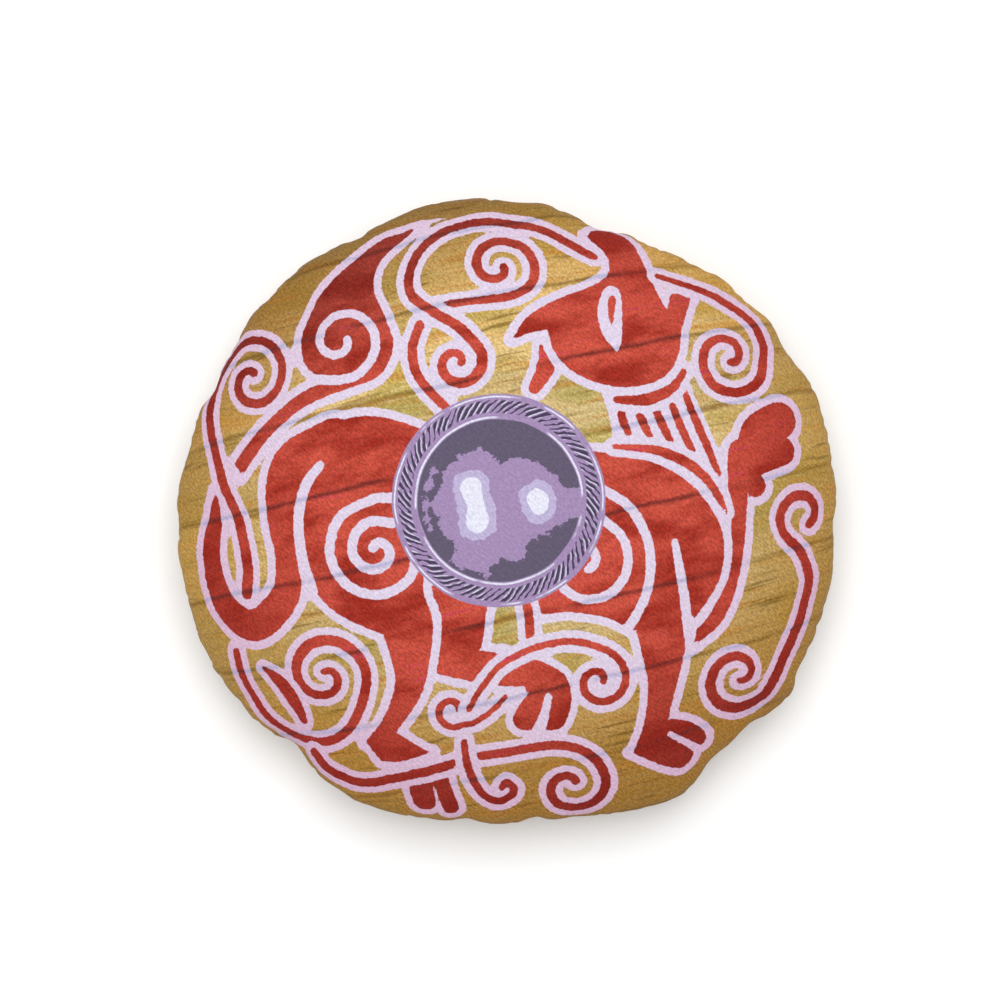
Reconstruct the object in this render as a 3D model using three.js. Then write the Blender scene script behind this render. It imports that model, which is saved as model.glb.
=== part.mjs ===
// A round cushion sewn and stuffed as a toy shield, lying on its back with its face up.
//
// Millimetres, +Z up. The origin is the middle of the footprint on the surface that the
// cushion lies on, +Y is the top of the face's picture and +X is its right-hand side.
//
// The cushion is two round plush panels sewn together round the edge and stuffed. It is one
// closed body: a lathed profile whose radius then follows the sewn edge, which isn't a true
// circle. The edge has a few broad swells, where the filling pushes it out, and narrower
// tucks, where the thread has drawn it in.

import * as THREE from 'three';

// ---- driving dimensions -------------------------------------------------------------

const WIDTH = 450;                 // across the face, edge to edge
const HEIGHT = 426;                // down the face, edge to edge
const THICKNESS = 118;             // of the stuffed middle
const SEAM_HEIGHT = 54;            // of the sewn edge above the surface
const REST_SHARE = 0.42;           // of the radius that lies flat on the surface
const FACE_CROWN = 2.7;            // how far out the face stays flat: 2 is an ellipse
const BACK_CROWN = 2.0;
const SEAM_PINCH = 2.1;            // how sharply the panels meet: 2 is round, less is sharper

const SECTIONS = 144;              // round the edge
const FACE_RINGS = 9;              // from the seam to the middle of the face
const BACK_RINGS = 5;              // from the resting patch to the seam

const GATHER = 1.4;                // depth of the small gathers beside the seam
const GATHER_REACH = 7;            // the power that keeps the gathers near the seam
const GATHER_COUNTS = [23, 31];    // two sets of ripples, so that no two gathers are alike

// Swells (out) and tucks (in) of the sewn edge: where, how far, and over what stretch.
const EDGE_CHANGES = [
  { bearing: 20, out: 2, spread: 11 },
  { bearing: 30, out: -5, spread: 3 },
  { bearing: 66, out: -11, spread: 15 },
  { bearing: 104, out: 2, spread: 10 },
  { bearing: 118, out: -4, spread: 8 },
  { bearing: 156, out: -6, spread: 13 },
  { bearing: 207, out: 5, spread: 18 },
  { bearing: 228, out: -6, spread: 4 },
  { bearing: 245, out: 8, spread: 14 },
  { bearing: 299, out: 12, spread: 11 },
  { bearing: 327, out: 10, spread: 5 },
  { bearing: 341, out: 2, spread: 9 },
];
const CHANGE_REACH = 3;            // the power that keeps those changes near the edge

// ---- helpers ------------------------------------------------------------------------

const radians = (degrees) => (degrees * Math.PI) / 180;

/** The turn from one bearing to another, the short way round, in degrees. */
function turnBetween(from, to) {
  return ((((to - from) % 360) + 540) % 360) - 180;
}

/** The radius of the plain oval at a bearing in degrees. */
function ovalRadius(bearing) {
  const across = Math.cos(radians(bearing)) / (WIDTH / 2);
  const down = Math.sin(radians(bearing)) / (HEIGHT / 2);
  return 1 / Math.hypot(across, down);
}

/** How far the sewn edge lies outside the oval at a bearing in degrees. */
function edgeChange(bearing) {
  return EDGE_CHANGES.reduce((sum, change) => {
    const away = turnBetween(change.bearing, bearing) / change.spread;
    return sum + change.out * Math.exp(-away * away);
  }, 0);
}

/** How far a small gather moves the skin at a bearing, from -1 to 1. */
function gatherWave(bearing) {
  const waves = GATHER_COUNTS.map((count, i) => Math.sin(radians(bearing * count) + i));
  return waves.reduce((sum, wave) => sum + wave, 0) / waves.length;
}

// ---- the cushion --------------------------------------------------------------------

/** Half of a lens: the height above the seam at a share of the radius, as a share of full. */
function crownShare(share, crown) {
  return (1 - share ** crown) ** (1 / SEAM_PINCH);
}

/** The profile from the middle of the back, round the seam, to the middle of the face. */
function cushionProfile() {
  const profile = [new THREE.Vector2(0, 0)];
  for (let i = 0; i <= BACK_RINGS; i += 1) {
    const turn = radians((90 * i) / BACK_RINGS);
    const share = REST_SHARE + (1 - REST_SHARE) * Math.sin(turn);
    const local = (share - REST_SHARE) / (1 - REST_SHARE);
    const drop = SEAM_HEIGHT * crownShare(local, BACK_CROWN);
    profile.push(new THREE.Vector2(share, SEAM_HEIGHT - drop));
  }
  for (let i = 1; i <= FACE_RINGS; i += 1) {
    const share = i === FACE_RINGS ? 0 : Math.cos(radians((90 * i) / FACE_RINGS));
    const rise = (THICKNESS - SEAM_HEIGHT) * crownShare(share, FACE_CROWN);
    profile.push(new THREE.Vector2(share, SEAM_HEIGHT + rise));
  }
  return profile;
}

/** Make the footprint exactly WIDTH by HEIGHT, with its middle at the origin. */
function fitFootprint(geometry) {
  geometry.computeBoundingBox();
  const middle = geometry.boundingBox.getCenter(new THREE.Vector3());
  const size = geometry.boundingBox.getSize(new THREE.Vector3());
  geometry.translate(-middle.x, -middle.y, 0);
  geometry.scale(WIDTH / size.x, HEIGHT / size.y, 1);
}

/** Lathe the profile at a radius of one, then draw each point out to the sewn edge. */
function cushionGeometry() {
  const geometry = new THREE.LatheGeometry(cushionProfile(), SECTIONS);
  geometry.rotateX(Math.PI / 2);
  const position = geometry.attributes.position;
  for (let i = 0; i < position.count; i += 1) {
    const point = new THREE.Vector3().fromBufferAttribute(position, i);
    const share = Math.hypot(point.x, point.y);
    const bearing = (Math.atan2(point.y, point.x) * 180) / Math.PI;
    const change = edgeChange(bearing) * share ** CHANGE_REACH;
    const gather = GATHER * gatherWave(bearing) * share ** GATHER_REACH;
    const scale = ovalRadius(bearing) + change + gather;
    position.setXYZ(i, point.x * scale, point.y * scale, point.z);
  }
  fitFootprint(geometry);
  geometry.computeVertexNormals();
  return geometry;
}

const printedPlush = new THREE.MeshStandardMaterial({
  color: 0xa57b3f,
  roughness: 0.95,
  metalness: 0,
});

const cushion = new THREE.Mesh(cushionGeometry(), printedPlush);
cushion.name = 'shield_cushion';

const shield = new THREE.Group();
shield.add(cushion);

export default shield;
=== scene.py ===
"""A stuffed plush cushion printed as a round toy shield, lying on its back, face up.

Two round plush panels are cut flat, sewn together round the edge and stuffed, and the
sewing draws the edge into small gathers and a few deeper tucks. The face panel carries
the printed picture and the back panel only the printed planks.
"""

import logging
import math
from dataclasses import dataclass
from enum import Enum

import bmesh
import bpy
import numpy as np
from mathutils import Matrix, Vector


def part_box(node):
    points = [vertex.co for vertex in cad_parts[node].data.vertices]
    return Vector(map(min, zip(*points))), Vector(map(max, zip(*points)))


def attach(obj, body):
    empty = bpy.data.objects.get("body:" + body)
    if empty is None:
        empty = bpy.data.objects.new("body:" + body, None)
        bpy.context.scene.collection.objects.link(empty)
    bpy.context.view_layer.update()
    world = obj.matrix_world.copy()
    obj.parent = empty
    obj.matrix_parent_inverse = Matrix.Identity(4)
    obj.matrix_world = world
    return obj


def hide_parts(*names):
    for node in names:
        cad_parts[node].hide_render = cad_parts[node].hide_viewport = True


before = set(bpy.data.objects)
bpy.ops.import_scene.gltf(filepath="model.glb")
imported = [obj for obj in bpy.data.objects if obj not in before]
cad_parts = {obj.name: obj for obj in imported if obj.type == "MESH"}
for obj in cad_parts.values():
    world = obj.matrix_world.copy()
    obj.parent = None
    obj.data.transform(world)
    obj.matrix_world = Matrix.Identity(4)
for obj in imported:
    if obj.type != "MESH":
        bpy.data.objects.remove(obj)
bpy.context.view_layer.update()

logging.basicConfig(level=logging.INFO, format="%(message)s")
LOG = logging.getLogger("shield_cushion")

Points = np.ndarray
Spot = tuple[float, float]
Colour = tuple[float, float, float]
Socket = bpy.types.NodeSocket
Value = Socket | float | tuple[float, ...]

CUSHION_NODE = "shield_cushion"
MM = 0.001
FULL_TURN = 2 * math.pi


class Side(Enum):
    """Which panel of the cushion a point belongs to."""

    FACE = 1
    SEAM = 0
    BACK = -1


# ---- the cushion's shape ---------------------------------------------------------------


def uneven_places(rng: np.random.Generator, count: int, least: float, most: float) -> Points:
    """Spread places round the edge with uneven gaps.

    Args:
        rng: Where the gaps are drawn from.
        count: How many places there are.
        least: The narrowest gap, as a share of the mean one.
        most: The widest gap, as a share of the mean one.

    Returns:
        The places' bearings, in radians.
    """
    steps = np.cumsum(rng.uniform(least, most, count))
    return FULL_TURN * steps / steps[-1]


def bumps(bearing: Points, places: Points, heights: Points, spreads: Points) -> Points:
    """Add up smooth bumps round the edge.

    Args:
        bearing: Bearings round the edge, in radians.
        places: The bearing of each bump.
        heights: The height of each bump.
        spreads: Half the width of each bump, in radians.

    Returns:
        The sum of the bumps at each bearing.
    """
    away = (bearing[:, None] - places + math.pi) % FULL_TURN - math.pi
    return (heights * np.exp(-((away / spreads) ** 2))).sum(axis=1)


@dataclass(frozen=True)
class Tuck:
    """One place where the thread has drawn the edge in further than its neighbours.

    Args:
        bearing: Where it is, in degrees from +X towards +Y.
        depth: How far it draws the edge in, in metres.
        spread: Half the width of the pull along the edge, in degrees.
    """

    bearing: float
    depth: float
    spread: float


@dataclass(frozen=True)
class SewnEdge:
    """The closed line along which the two panels are sewn together.

    Args:
        node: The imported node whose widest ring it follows.
        gathers: How many small gathers draw it in.
        gather_depth: How deep the deepest gather is, in metres.
        gather_spread: Half the width of a usual gather, in degrees.
        gather_gaps: The narrowest and the widest gap between gathers, as shares of the mean.
        gather_depths: The range their depths are drawn from, as shares of the deepest.
        gather_rarity: The power that makes deep ones rare.
        gather_spreads: The range of their widths, as shares of the usual one.
        pleats: How many small pleats run in from the stitches.
        pleat_gaps: The narrowest and the widest gap between pleats, as shares of the mean.
        pleat_depths: The range of their depths, as shares of the deepest.
        pleat_spreads: The range of half their widths, in degrees.
        pleat_level: What is taken off the pleats all round, as a share of the highest.
        same_level: How near its height a corner counts as on it, in metres.
        wander: How far the edge strays up and down, in metres.
        strays: Its strays, each as (times round, size, start in radians).
        seed: Seeds the gathers. The next number seeds the pleats.
        tucks: The deeper tucks.
    """

    node: str = CUSHION_NODE
    gathers: int = 46
    gather_depth: float = 2.2 * MM
    gather_spread: float = 1.3
    gather_gaps: Spot = (0.5, 1.5)
    gather_depths: Spot = (0.1, 1.0)
    gather_rarity: float = 1.5
    gather_spreads: Spot = (0.7, 1.4)
    pleats: int = 96
    pleat_gaps: Spot = (0.3, 1.7)
    pleat_depths: Spot = (0.1, 1.0)
    pleat_spreads: Spot = (0.5, 1.0)
    pleat_level: float = 0.2
    same_level: float = 0.01 * MM
    wander: float = 1.6 * MM
    strays: tuple[tuple[int, float, float], ...] = (
        (7, 0.6, 0.4),
        (13, 0.5, 2.1),
        (23, 0.4, 4.4),
        (41, 0.3, 1.3),
    )
    seed: int = 11
    tucks: tuple[Tuck, ...] = (
        Tuck(30, -2.6 * MM, 3),
        Tuck(39, 1.8 * MM, 1.2),
        Tuck(51, 2.2 * MM, 2),
        Tuck(65, -3.5 * MM, 2),
        Tuck(72, 5.5 * MM, 1.6),
        Tuck(119, 1 * MM, 1.6),
        Tuck(122, -3 * MM, 2.5),
        Tuck(158, 3 * MM, 1.6),
        Tuck(171, 1.6 * MM, 7),
        Tuck(193, 2 * MM, 7),
        Tuck(210, 1.8 * MM, 2),
        Tuck(227, 0.8 * MM, 1.5),
        Tuck(256, 3.5 * MM, 1.3),
        Tuck(263, 4 * MM, 1.3),
        Tuck(275, 4.5 * MM, 1.3),
        Tuck(309, 2.5 * MM, 1.5),
        Tuck(316, 3 * MM, 1.6),
        Tuck(321, -2.8 * MM, 2.6),
        Tuck(331, 2.5 * MM, 1.4),
        Tuck(340, -2.6 * MM, 7),
        Tuck(358, 2 * MM, 1.2),
    )

    def ring(self) -> tuple[Points, float]:
        """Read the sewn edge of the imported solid.

        Returns:
            Its points as (bearing in radians, radius in metres) rows, and its height.
        """
        corners = np.array([v.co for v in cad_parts[self.node].data.vertices])
        radius = np.hypot(corners[:, 0], corners[:, 1])
        height = float(corners[radius.argmax(), 2])
        on_edge = np.abs(corners[:, 2] - height) < self.same_level
        bearing = np.arctan2(corners[on_edge, 1], corners[on_edge, 0])
        rows = np.stack([bearing, radius[on_edge]], axis=1)
        return np.unique(rows.round(6), axis=0), height

    def pull(self, bearing: Points) -> Points:
        """How far the gathers and tucks draw the edge in.

        Args:
            bearing: Bearings round the edge, in radians.

        Returns:
            The pull at each bearing, in metres, with no pull on average.
        """
        rng = np.random.default_rng(self.seed)
        places = uneven_places(rng, self.gathers, *self.gather_gaps)
        shares = rng.uniform(*self.gather_depths, self.gathers)
        depths = self.gather_depth * shares**self.gather_rarity
        spreads = np.radians(self.gather_spread) * rng.uniform(*self.gather_spreads, self.gathers)
        places = np.append(places, np.radians([tuck.bearing for tuck in self.tucks]))
        depths = np.append(depths, [tuck.depth for tuck in self.tucks])
        spreads = np.append(spreads, np.radians([tuck.spread for tuck in self.tucks]))
        mean = (depths * spreads).sum() * math.sqrt(math.pi) / FULL_TURN
        return bumps(bearing, places, depths, spreads) - mean

    def pleat_heights(self, bearing: Points) -> Points:
        """How deep the small pleats are.

        Args:
            bearing: Bearings round the edge, in radians.

        Returns:
            The depth at each bearing, from about 0 to 1.
        """
        rng = np.random.default_rng(self.seed + 1)
        places = uneven_places(rng, self.pleats, *self.pleat_gaps)
        heights = rng.uniform(*self.pleat_depths, self.pleats)
        spreads = np.radians(rng.uniform(*self.pleat_spreads, self.pleats))
        return bumps(bearing, places, heights, spreads) - self.pleat_level

    def rise(self, bearing: Points) -> Points:
        """How far the edge strays up and down, in metres, at bearings in radians."""
        waves = (size * np.sin(count * bearing + start) for count, size, start in self.strays)
        return self.wander * sum(waves)


@dataclass(frozen=True)
class PlushCloth:
    """How the plush behaves while the filling swells it."""

    quality: int = 6
    mass: float = 0.3
    stretch: float = 15
    shear: float = 5
    bending: float = 0.3
    pressure: float = 3.0
    frames: int = 30

    def swell(self, piece: bpy.types.Object, cut: bpy.types.ShapeKey, seam: str) -> None:
        """Run the simulation and keep its last frame as the piece's mesh.

        Args:
            piece: The joined panels.
            cut: The shape key that holds their flat cut.
            seam: The vertex group that the thread holds in place.
        """
        stuffing = piece.modifiers.new("stuffing", "CLOTH")
        settings = stuffing.settings
        settings.rest_shape_key = cut
        settings.vertex_group_mass = seam
        settings.quality = self.quality
        settings.mass = self.mass
        settings.tension_stiffness = self.stretch
        settings.compression_stiffness = self.stretch
        settings.shear_stiffness = self.shear
        settings.bending_stiffness = self.bending
        settings.use_pressure = True
        settings.uniform_pressure_force = self.pressure
        settings.effector_weights.gravity = 0
        stuffing.collision_settings.use_collision = False
        stuffing.point_cache.frame_end = self.frames
        for number in range(1, self.frames + 1):
            bpy.context.scene.frame_set(number)
        apply_modifiers(piece)


@dataclass
class StuffedCushion:
    """The two sewn panels, stuffed by a cloth simulation and finished as one closed skin.

    Args:
        edge: The sewn edge.
        cloth: The plush.
        cells: How many cells a panel's grid has along each side.
        parting: How far apart the joined unit panels start at the middle.
        fullness: The height of the starting shape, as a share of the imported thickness.
        crown: How square the starting shape's shoulder is.
        pinch: How sharply the starting shape closes at the seam.
        profile_steps: How many points the starting shape's profile has.
        crowding: How much closer they lie near the seam.
        gather_start: Where the gathers begin, as a share of the way to the edge.
        unevenness: How rough the starting shape is, in metres.
        seed: Seeds its roughness.
        slack: How far the flat cut is stretched, as its share of the stuffed length.
        bulge: How far the panels bulge past the seam, in metres.
        rest_sink: How deep the cushion sinks where it rests, in metres.
        rest_softness: How softly the resting patch runs into the back, in metres.
        groove_depth: How far the seam is drawn in between the panels, in metres.
        groove_width: How far from the seam the groove reaches, in metres.
        lump: How high the filling's lumps stand, in metres.
        broad_waves: How fast the broad lumps come across and up the face, in radians a metre.
        slant_waves: How fast the slanted ones come.
        slant_share: How high the slanted ones are beside the broad ones.
        pleat_depth: How deep the deepest pleat is, in metres.
        pleat_reach: How far from the seam the pleats reach, in metres.
        seam_reach: How far from the seam the flat plan keeps its first spacing, in metres.
    """

    edge: SewnEdge
    cloth: PlushCloth = PlushCloth()
    cells: int = 55
    parting: float = 0.05
    fullness: float = 0.92
    crown: float = 2.3
    pinch: float = 2.2
    profile_steps: int = 2001
    crowding: float = 2.5
    gather_start: float = 0.86
    unevenness: float = 0.2 * MM
    seed: int = 5
    slack: float = 0.985
    bulge: float = 1.2 * MM
    rest_sink: float = 5 * MM
    rest_softness: float = 3 * MM
    groove_depth: float = 2.2 * MM
    groove_width: float = 5 * MM
    lump: float = 0.7 * MM
    broad_waves: Spot = (31, 27)
    slant_waves: Spot = (58, -44)
    slant_share: float = 0.7
    pleat_depth: float = 1.4 * MM
    pleat_reach: float = 20 * MM
    seam_reach: float = 8 * MM

    def __post_init__(self) -> None:
        """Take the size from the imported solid."""
        low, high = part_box(self.edge.node)
        self.floor = low.z
        self.thickness = high.z - low.z
        rows, self.seam_height = self.edge.ring()
        self.edge_bearings = rows[:, 0]
        self.edge_radii = rows[:, 1]

    def edge_radius(self, bearing: Points) -> Points:
        """Radius of the sewn edge, without its gathers, at bearings in radians."""
        return np.interp(bearing, self.edge_bearings, self.edge_radii, period=FULL_TURN)

    def profile(self) -> tuple[Points, Points, Points]:
        """The half lens that each panel starts from, with its steps closest at the seam.

        Returns:
            Distance along the skin from the middle, as shares of the edge radius, with
            the radius and the height above the seam there, as shares of the same.
        """
        radius = 1 - np.linspace(1, 0, self.profile_steps) ** self.crowding
        rise = (1 - radius**self.crown) ** (1 / self.pinch)
        height = rise * 0.5 * self.thickness * self.fullness / self.edge_radii.mean()
        steps = np.hypot(np.diff(radius), np.diff(height))
        return np.append(0, np.cumsum(steps)), radius, height

    def panels(self) -> bpy.types.Object:
        """Cut the two round panels from grids and join them along the edge.

        Returns:
            The flat panels, a unit disc each, a hair apart and welded at the rim.
        """
        cloth = bmesh.new()
        bmesh.ops.create_grid(cloth, x_segments=self.cells, y_segments=self.cells, size=1)
        for corner in cloth.verts:
            corner.co = square_to_disc(corner.co)
            corner.co.z = self.parting * math.sqrt(max(0.0, 1 - corner.co.xy.length_squared))
        copy = bmesh.ops.duplicate(cloth, geom=cloth.verts[:] + cloth.edges[:] + cloth.faces[:])
        for corner in (g for g in copy["geom"] if isinstance(g, bmesh.types.BMVert)):
            corner.co.z *= -1
        back = [g for g in copy["geom"] if isinstance(g, bmesh.types.BMFace)]
        bmesh.ops.reverse_faces(cloth, faces=back)
        bmesh.ops.remove_doubles(cloth, verts=cloth.verts[:], dist=1e-5)
        bmesh.ops.recalc_face_normals(cloth, faces=cloth.faces[:])
        mesh = bpy.data.meshes.new(self.edge.node + "_skin")
        cloth.to_mesh(mesh)
        cloth.free()
        return put("stuffed_shield", mesh)

    def lay_out(self, piece: bpy.types.Object) -> tuple[Points, Points]:
        """Work out where each point of the panels starts, and where it lies when flat.

        Args:
            piece: The joined panels as unit discs.

        Returns:
            The starting points and the flat points, both in metres.
        """
        disc = read_points(piece.data)
        side = np.where(disc[:, 2] > 0, Side.FACE.value, Side.BACK.value)
        side[np.abs(disc[:, 2]) < 1e-4] = Side.SEAM.value
        bearing = np.arctan2(disc[:, 1], disc[:, 0])
        share = np.hypot(disc[:, 0], disc[:, 1])
        along, radius, height = self.profile()
        out = np.interp(share * along[-1], along, radius)
        rise = np.interp(share * along[-1], along, height)
        reach = self.edge_radius(bearing)
        near = np.clip((share - self.gather_start) / (1 - self.gather_start), 0, 1) ** 2
        drawn = out * (reach + self.bulge + (self.groove_depth - self.edge.pull(bearing)) * near)
        level = side * rise * self.edge_radii.mean() + self.edge.rise(bearing) * near
        jitter = np.random.default_rng(self.seed).normal(0, self.unevenness, disc.shape)
        jitter[side == Side.SEAM.value] = 0
        start = np.stack([drawn * np.cos(bearing), drawn * np.sin(bearing), level], axis=1)
        cut = share * along[-1] * reach * self.slack
        flat = np.stack([cut * np.cos(bearing), cut * np.sin(bearing), side], axis=1)
        return start + jitter, flat

    def stuff(self, piece: bpy.types.Object, start: Points, flat: Points) -> None:
        """Let the filling push the panels out while the seam holds them.

        Args:
            piece: The joined panels. Its mesh is replaced by the stuffed one.
            start: Where each point starts, in metres.
            flat: The flat panels, whose third column is the side.
        """
        write_points(piece.data, start)
        piece.shape_key_add(name="start")
        cut = piece.shape_key_add(name="cut")
        cut.data.foreach_set("co", (flat * (1, 1, 0)).astype(np.float32).ravel())
        cut.value = 0
        seam = piece.vertex_groups.new(name="seam")
        seam.add(np.flatnonzero(flat[:, 2] == Side.SEAM.value).tolist(), 1.0, "REPLACE")
        self.cloth.swell(piece, cut, seam.name)

    def settle(self, piece: bpy.types.Object) -> None:
        """Lay the cushion down: fit its thickness and flatten it where it rests.

        Args:
            piece: The stuffed skin.
        """
        points = read_points(piece.data)
        above = points[:, 2] > 0
        top = self.floor + self.thickness - self.seam_height
        drop = self.seam_height - self.floor + self.rest_sink
        scale = np.where(above, top / points[:, 2].max(), drop / -points[:, 2].min())
        height = self.seam_height - self.floor + points[:, 2] * scale
        height = 0.5 * (height + np.hypot(height, self.rest_softness))
        points[:, 2] = self.floor + height - height.min()
        write_points(piece.data, points)

    def seam_gap(self, flat: Points) -> Points:
        """How far points lie from the seam, along the skin.

        Args:
            flat: Where the points lie when flat, in metres.

        Returns:
            Each point's distance from the seam, in metres.
        """
        bearing = np.arctan2(flat[:, 1], flat[:, 0])
        rim = self.edge_radius(bearing) * self.profile()[0][-1] * self.slack
        return np.maximum(rim - np.hypot(flat[:, 0], flat[:, 1]), 0)

    def refine(self, piece: bpy.types.Object, plan: bpy.types.Object) -> None:
        """Subdivide the skin, and its flat plan in the same way, so that the print stays true.

        Args:
            piece: The skin.
            plan: A copy of it whose points lie where the attribute "panel" says.
        """
        subdivide(piece)
        subdivide(plan)
        flat = read_vector(piece.data, "panel")
        share = np.clip((self.seam_gap(flat) - self.seam_reach) / self.seam_reach, 0, 1)
        flat[:, :2] += share[:, None] * (read_points(plan.data) - flat)[:, :2]
        write_vector(piece.data, "panel", flat)

    def lumps(self, flat: Points) -> Points:
        """How high the filling's soft lumps stand.

        Args:
            flat: Where the points lie when flat, in metres.

        Returns:
            The height at each point, in metres.
        """
        spots = flat[:, :2]
        broad = np.sin(spots * self.broad_waves + (1, 2)).prod(axis=1)
        slant = np.sin((spots * self.slant_waves).sum(axis=1))
        return self.lump * (broad + self.slant_share * slant)

    def groove(self, piece: bpy.types.Object) -> None:
        """Draw the seam in between the two bulging panels, and add lumps to the face.

        Args:
            piece: The skin, subdivided once.
        """
        points = read_points(piece.data)
        flat = read_vector(piece.data, "panel")
        bearing = np.arctan2(flat[:, 1], flat[:, 0])
        gap = self.seam_gap(flat)
        pull = self.groove_depth * np.exp(-((gap / self.groove_width) ** 2))
        points[:, 0] -= pull * np.cos(bearing)
        points[:, 1] -= pull * np.sin(bearing)
        points[:, 2] += self.lumps(flat) * np.clip(flat[:, 2], 0, 1) * (gap > 0)
        write_points(piece.data, points)

    def pleat(self, piece: bpy.types.Object) -> None:
        """Press the small pleats at the stitches in, and store how far the seam is.

        Args:
            piece: The skin, subdivided twice.
        """
        points = read_points(piece.data)
        flat = read_vector(piece.data, "panel")
        gap = self.seam_gap(flat)
        depth = self.edge.pleat_heights(np.arctan2(flat[:, 1], flat[:, 0]))
        depth *= self.pleat_depth * np.clip(1 - gap / self.pleat_reach, 0, 1) ** 2
        write_points(piece.data, points - depth[:, None] * read_normals(piece.data))
        write_value(piece.data, "seam_gap", gap / MM)

    def build(self) -> bpy.types.Object:
        """Cut, sew, stuff and settle the cushion.

        Returns:
            The finished skin, with its flat panel coordinates in the attribute "panel".
        """
        piece = self.panels()
        start, flat = self.lay_out(piece)
        self.stuff(piece, start, flat)
        write_vector(piece.data, "panel", flat)
        self.settle(piece)
        plan = put("plan", piece.data.copy())
        write_points(plan.data, flat)
        self.refine(piece, plan)
        self.groove(piece)
        self.refine(piece, plan)
        self.pleat(piece)
        flat_mesh = plan.data
        bpy.data.objects.remove(plan)
        bpy.data.meshes.remove(flat_mesh)
        piece.data.shade_smooth()
        return piece


# ---- the printed picture ---------------------------------------------------------------

FAR = 14.0


class Ink(Enum):
    """How a shape is laid on the picture."""

    RED = "red, with a pale rim that also parts it from what lies under it"
    PALE = "pale, over whatever lies under it"


class Rim(Enum):
    """How wide the pale rim round a red area is, in millimetres."""

    BODY = 5.6
    RIBBON = 4.9
    STRAP = 4.7
    MANE = 3.5
    NONE = 0.0


def smooth_line(spots: Points, closed: bool = False, steps: int = 7) -> Points:
    """Draw a smooth curve through the spots.

    Args:
        spots: The spots that it passes through, one row each, in millimetres.
        closed: Whether it runs back to its first spot.
        steps: How many short straight steps it takes from one spot to the next.

    Returns:
        The curve's points, one row each.
    """
    spots = np.asarray(spots, float)
    if len(spots) < 3:
        return spots
    if closed:
        lead, tail = spots[-2:-1], spots[1:2]
    else:
        lead, tail = 2 * spots[:1] - spots[1:2], 2 * spots[-1:] - spots[-2:-1]
    row = np.concatenate([lead, spots, tail])
    before, start, stop, after = row[:-3], row[1:-2], row[2:-1], row[3:]
    share = (np.arange(steps) / steps)[:, None, None]
    curve = 0.5 * (
        2 * start
        + (stop - before) * share
        + (2 * before - 5 * start + 4 * stop - after) * share**2
        + (3 * start - before - 3 * stop + after) * share**3
    )
    return np.append(curve.transpose(1, 0, 2).reshape(-1, spots.shape[1]), spots[-1:], axis=0)


def beside(points: Points, start: Points, step: Points) -> tuple[Points, Points]:
    """Find the nearest spot on one straight step of a line.

    Args:
        points: The points to measure from, one row each.
        start: Where the step starts.
        step: How far it goes along each axis.

    Returns:
        How far each point is from it, and what share of the step leads to that spot.
    """
    away = points - start
    share = np.clip(away @ step / max(step @ step, 1e-9), 0, 1)
    return np.hypot(*(away - share[:, None] * step).T), share


@dataclass(frozen=True)
class Scroll:
    """A spiral that a stroke runs into.

    Args:
        centre: Its middle, in millimetres.
        bearing: Where on it the stroke arrives, in degrees from the middle.
        radius: Its radius there.
        turns: How often it goes round, positive when it turns left.
        inner: Its radius at its inner end.
        hold: How long it keeps its radius before it winds in. One winds in evenly.
    """

    centre: Spot
    bearing: float
    radius: float
    turns: float
    inner: float
    hold: float = 1.0

    def spots(self) -> Points:
        """Follow the spiral from its outer end to its inner end, in ten steps to a turn.

        Returns:
            The spots along it, one row each, in millimetres.
        """
        share = np.linspace(0, 1, max(4, int(abs(self.turns) * 10)))
        turn = math.radians(self.bearing) + share * self.turns * FULL_TURN
        eased = 0.5 * (1 - np.cos(math.pi * share))
        radius = self.radius + (self.inner - self.radius) * (0.5 * (share + eased)) ** self.hold
        around = np.stack([radius * np.cos(turn), radius * np.sin(turn)], axis=1)
        return np.array(self.centre) + around


@dataclass(frozen=True)
class Stroke:
    """A brush stroke with round ends along a smooth path.

    Args:
        path: The spots that it passes through, in millimetres.
        widths: Its width at even steps along it, from its first end to its last.
        scroll: The spiral that it ends in, if it has one.
    """

    path: tuple[Spot, ...]
    widths: tuple[float, ...]
    scroll: Scroll | None = None

    def outline(self) -> Points:
        """Draw the line along the middle of the stroke.

        Returns:
            The line's points, one row each, in millimetres.
        """
        spots = np.array(self.path, float).reshape(-1, 2)
        if self.scroll:
            spots = np.concatenate([spots, self.scroll.spots()])
        return smooth_line(spots)

    def overhang(self) -> float:
        """How far it reaches past its line at most."""
        return max(self.widths) / 2

    def distance(self, points: Points) -> Points:
        """How far each point lies outside the stroke, negative inside it.

        Args:
            points: The points, one row each, in millimetres.

        Returns:
            Each point's distance in millimetres, FAR at most.
        """
        line = self.outline()
        along = np.linspace(0, 1, len(line))
        half = np.interp(along, np.linspace(0, 1, len(self.widths)), self.widths) / 2
        best = np.full(len(points), FAR)
        for start, stop, first, last in zip(line, line[1:], half, half[1:]):
            gap, share = beside(points, start, stop - start)
            best = np.minimum(best, gap - (first + share * (last - first)))
        return best


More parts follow.
